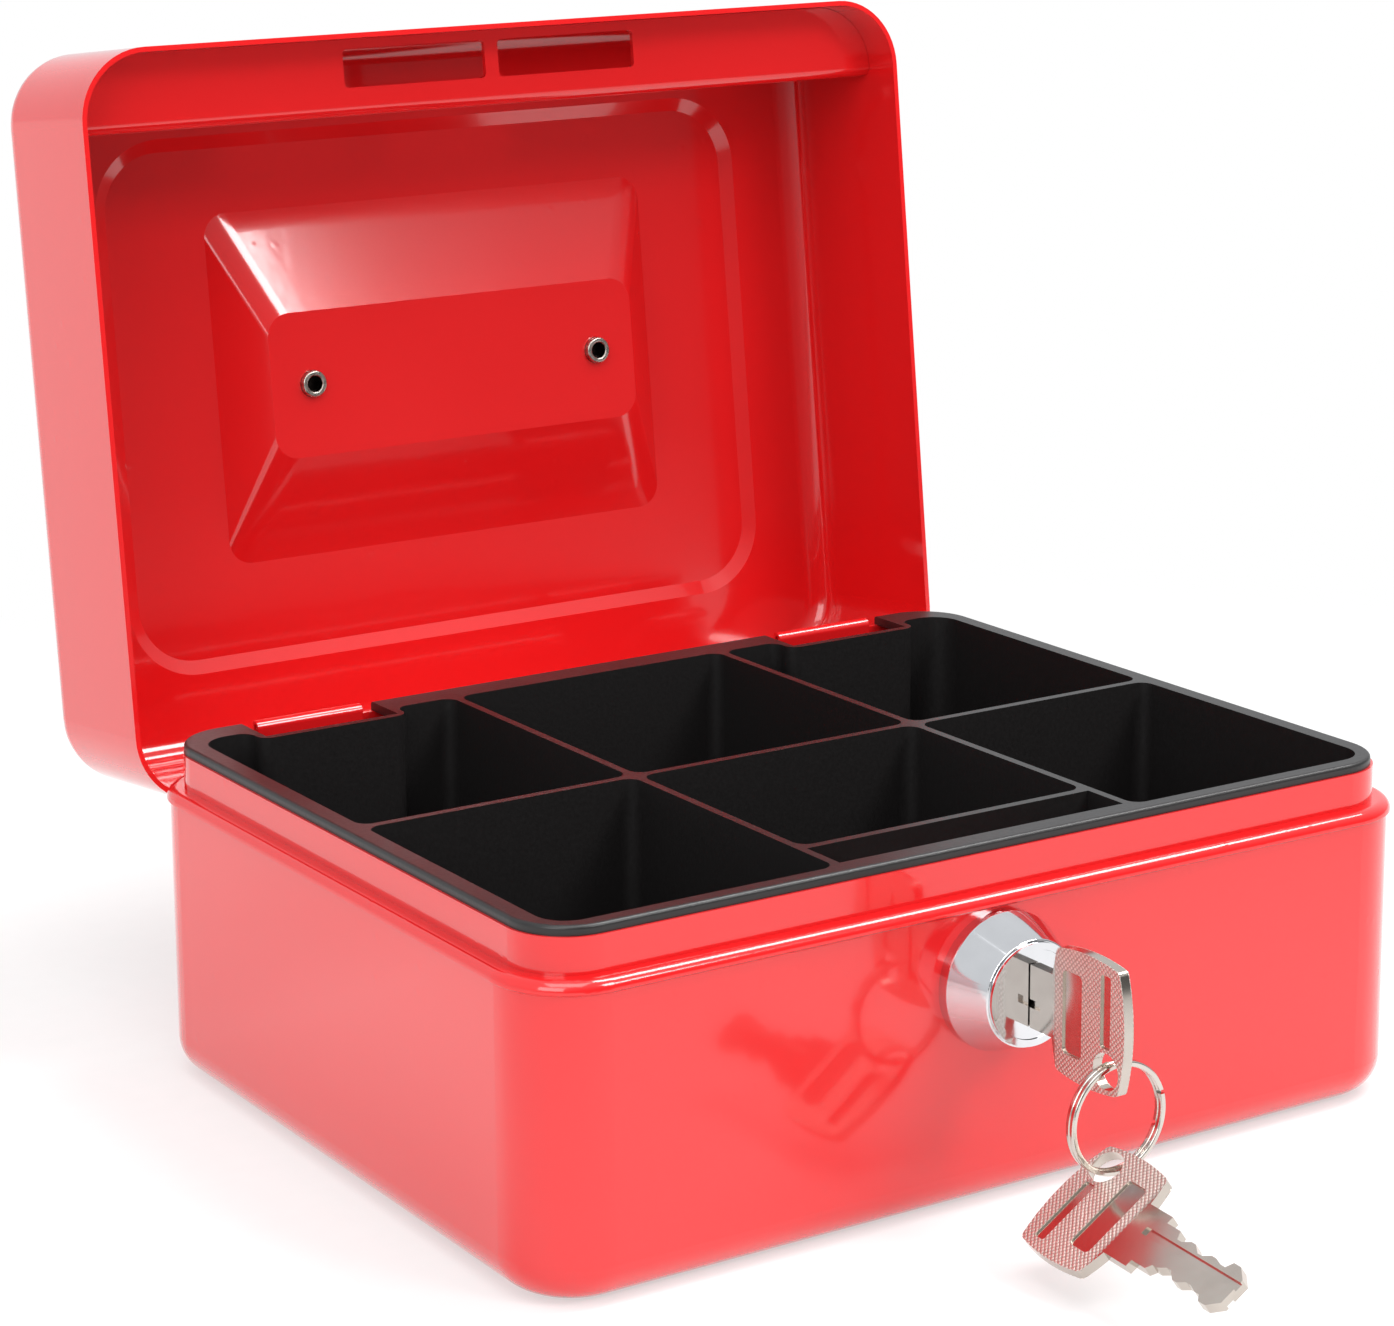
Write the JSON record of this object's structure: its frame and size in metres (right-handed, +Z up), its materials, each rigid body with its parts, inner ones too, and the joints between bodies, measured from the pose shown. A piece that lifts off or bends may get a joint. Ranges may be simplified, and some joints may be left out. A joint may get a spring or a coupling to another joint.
{
  "type": "cash box",
  "caption": "Painted steel cash box standing open, with a hinged lid, a lift-out coin tray, a keyed hook lock, and a key in the lock with a spare on a split ring.",
  "frame": {"origin": "middle of the flat underside of the base, where the box stands", "axes": "+X to the right seen from the lock side, -Y out of the lock side, +Z up"},
  "size_m": [0.153, 0.2195, 0.1555],
  "materials": {
    "red_enamel": "gloss",
    "black_plastic": "satin",
    "chrome_plate": "polished",
    "plated_steel": "polished nickel",
    "bare_steel": "zinc",
    "brass": "satin"
  },
  "bodies": {
    "base": {"base_shell": "red_enamel", "hinge_plate_left": "red_enamel", "hinge_plate_right": "red_enamel", "hinge_pin_left": "bare_steel", "hinge_pin_right": "bare_steel", "lock_bezel": "chrome_plate", "lock_barrel": "chrome_plate", "lock_washer": "bare_steel", "lock_nut": "bare_steel"},
    "lid": {"lid_shell": "red_enamel", "lid_leaf_left": "red_enamel", "lid_leaf_right": "red_enamel", "lid_strike_channel": "red_enamel", "handle_bracket_left": "plated_steel", "handle_bracket_right": "plated_steel", "handle_rivets": "bare_steel"},
    "handle": {"carry_handle": "plated_steel"},
    "tray": {"coin_tray": "black_plastic"},
    "plug": {"lock_plug": "chrome_plate", "lock_wafers": "brass", "hook_cam": "bare_steel", "cam_screw": "bare_steel"},
    "key": {"key_in_lock": "plated_steel"},
    "ring": {"key_ring": "plated_steel"},
    "spare": {"spare_key": "plated_steel"}
  },
  "joints": [
    {"name": "lid_hinge", "type": "hinge", "parent": "base", "child": "lid", "pos_m": [0, 0.0562, 0.0421], "axis": [-1, 0, 0], "range_deg": [-96.4, 0]},
    {"name": "handle_swing", "type": "hinge", "parent": "lid", "child": "handle", "pos_m": [0, 0.09836, 0.09594], "axis": [1, 0, 0], "range_deg": [-6.4, 173.6]},
    {"name": "tray_lift", "type": "slide", "parent": "base", "child": "tray", "axis": [0, 0, 1], "range_m": [0, 0.06]},
    {"name": "plug_turn", "type": "hinge", "parent": "base", "child": "plug", "pos_m": [-0.0024, -0.0584, 0.0332], "axis": [0, -1, 0], "range_deg": [0, 90]},
    {"name": "key_pull", "type": "slide", "parent": "plug", "child": "key", "axis": [0, -1, 0], "range_m": [0, 0.02]},
    {"name": "ring_swing", "type": "hinge", "parent": "key", "child": "ring", "pos_m": [-0.0024, -0.0827, 0.0274], "axis": [1, 0, 0], "range_deg": [-45, 45]},
    {"name": "spare_swing", "type": "hinge", "parent": "ring", "child": "spare", "pos_m": [-0.0023, -0.0827, 0.01307], "axis": [1, 0, 0], "range_deg": [-45, 30]}
  ]
}
